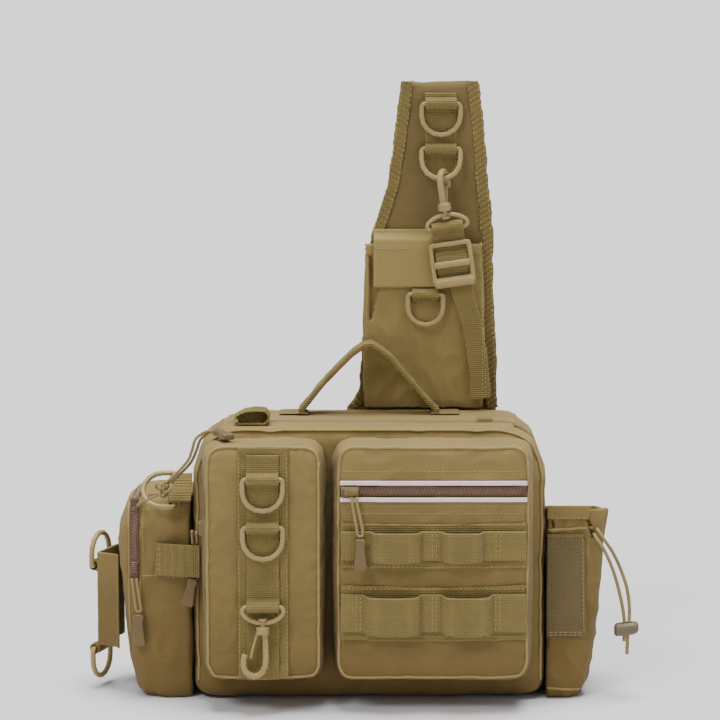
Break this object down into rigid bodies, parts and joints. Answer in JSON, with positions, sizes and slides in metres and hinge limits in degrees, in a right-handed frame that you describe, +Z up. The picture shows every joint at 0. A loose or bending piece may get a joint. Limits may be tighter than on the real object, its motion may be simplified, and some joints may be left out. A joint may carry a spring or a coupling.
{
  "type": "fishing tackle sling bag",
  "caption": "Sling bag for fishing tackle: boxy body with zipped front and end pockets, webbing loops, D rings, snap hooks, rod loop, grab handle and a padded shoulder strap.",
  "frame": {"origin": "middle of the main body's flat base, on the surface that the bag stands on", "axes": "+X to the bag's right seen from the front, +Y from the front pockets to the shoulder pad, +Z up"},
  "size_m": [0.412, 0.1551, 0.457],
  "materials": {
    "cloth": "matte coated woven polyester, khaki tan",
    "piping": "folded cloth over a cord, slightly paler",
    "webbing": "matte polyester webbing, coarse weave",
    "elastic": "matte ribbed elastic",
    "zip": "brown coil zip with a painted slider",
    "light_piping": "pale reflective tape over a cord",
    "hardware": "molded acetal, satin",
    "cord": "braided polyester cord"
  },
  "bodies": {
    "bag": {"main_body": "cloth", "left_pocket": "cloth", "right_pocket": "cloth", "left_end_pocket": "cloth", "rod_loop": "cloth", "right_end_pocket": "cloth", "right_end_hem": "cloth", "shoulder_pad": "cloth", "pad_pocket": "cloth", "pad_flap": "cloth", "left_pocket_piping": "piping", "right_pocket_piping": "piping", "left_pocket_wide_webbing": "webbing", "ring_webbing": "webbing", "molle_band_upper": "webbing", "molle_loops_upper": "webbing", "molle_band_lower": "webbing", "molle_loops_lower": "webbing", "left_end_strap": "webbing", "rod_webbing": "webbing", "grab_handle": "webbing", "pad_binding_left": "webbing", "pad_binding_right": "webbing", "pad_webbing": "webbing", "flap_ring_tab": "webbing", "adjuster_webbing": "webbing", "corner_loop": "webbing", "side_tab": "webbing", "elastic_panel": "elastic", "main_zip": "zip", "left_pocket_zip": "zip", "right_pocket_zip": "zip", "left_end_zip": "zip", "reflective_piping_upper": "light_piping", "reflective_piping_lower": "light_piping", "pad_ring_lower": "hardware", "ladder_lock": "hardware", "snap_bail": "hardware", "snap_hook": "hardware", "cord_lock": "hardware", "right_pull_grip": "hardware", "left_pull_grip": "hardware", "end_pull_grip": "hardware", "top_pull_grip": "hardware", "right_pull_cord": "cord", "left_pull_cord": "cord", "end_pull_cord": "cord", "top_pull_cord": "cord", "drawcord_right": "cord", "drawcord_left": "cord"},
    "upper_front_ring": {"front_ring_upper": "hardware"},
    "lower_front_ring": {"front_ring_lower": "hardware"},
    "swivel_bail": {"swivel_ring": "hardware"},
    "hook": {"swivel_hook": "hardware"},
    "upper_pad_ring": {"pad_ring_upper": "hardware"},
    "flap_d_ring": {"flap_ring": "hardware"},
    "side_d_ring": {"side_ring": "hardware"},
    "upper_rod_ring": {"rod_ring_upper": "hardware"},
    "lower_rod_ring": {"rod_ring_lower": "hardware"}
  },
  "joints": [
    {"name": "upper_front_ring_swing", "type": "hinge", "parent": "bag", "child": "upper_front_ring", "pos_m": [-0.0775, -0.09, 0.176], "axis": [-1, 0, 0], "range_deg": [0, 140]},
    {"name": "lower_front_ring_swing", "type": "hinge", "parent": "bag", "child": "lower_front_ring", "pos_m": [-0.0775, -0.09, 0.1405], "axis": [-1, 0, 0], "range_deg": [0, 140]},
    {"name": "bail_swing", "type": "hinge", "parent": "bag", "child": "swivel_bail", "pos_m": [-0.0775, -0.0928, 0.0825], "axis": [-1, 0, 0], "range_deg": [0, 110]},
    {"name": "hook_swivel", "type": "hinge", "parent": "swivel_bail", "child": "hook", "pos_m": [-0.0775, -0.0928, 0.0685], "axis": [0, 0, 1], "range_deg": [0, 180]},
    {"name": "upper_pad_ring_swing", "type": "hinge", "parent": "bag", "child": "upper_pad_ring", "pos_m": [0.054, 0.0408, 0.4385], "axis": [-1, 0, 0], "range_deg": [0, 140]},
    {"name": "flap_ring_swing", "type": "hinge", "parent": "bag", "child": "flap_d_ring", "pos_m": [0.0425, 0.0315, 0.2954], "axis": [-1, 0, 0], "range_deg": [0, 110]},
    {"name": "side_ring_swing", "type": "hinge", "parent": "bag", "child": "side_d_ring", "pos_m": [-0.1443, -0.0372, 0.1584], "axis": [0, 0.6561, 0.7547], "range_deg": [0, 15]},
    {"name": "upper_rod_ring_swing", "type": "hinge", "parent": "bag", "child": "upper_rod_ring", "pos_m": [-0.20308, 0.00192, 0.095], "axis": [-0.3681, -0.9298, 0], "range_deg": [0, 170]},
    {"name": "lower_rod_ring_swing", "type": "hinge", "parent": "bag", "child": "lower_rod_ring", "pos_m": [-0.20308, 0.00192, 0.031], "axis": [0.3681, 0.9298, 0], "range_deg": [0, 140]}
  ]
}
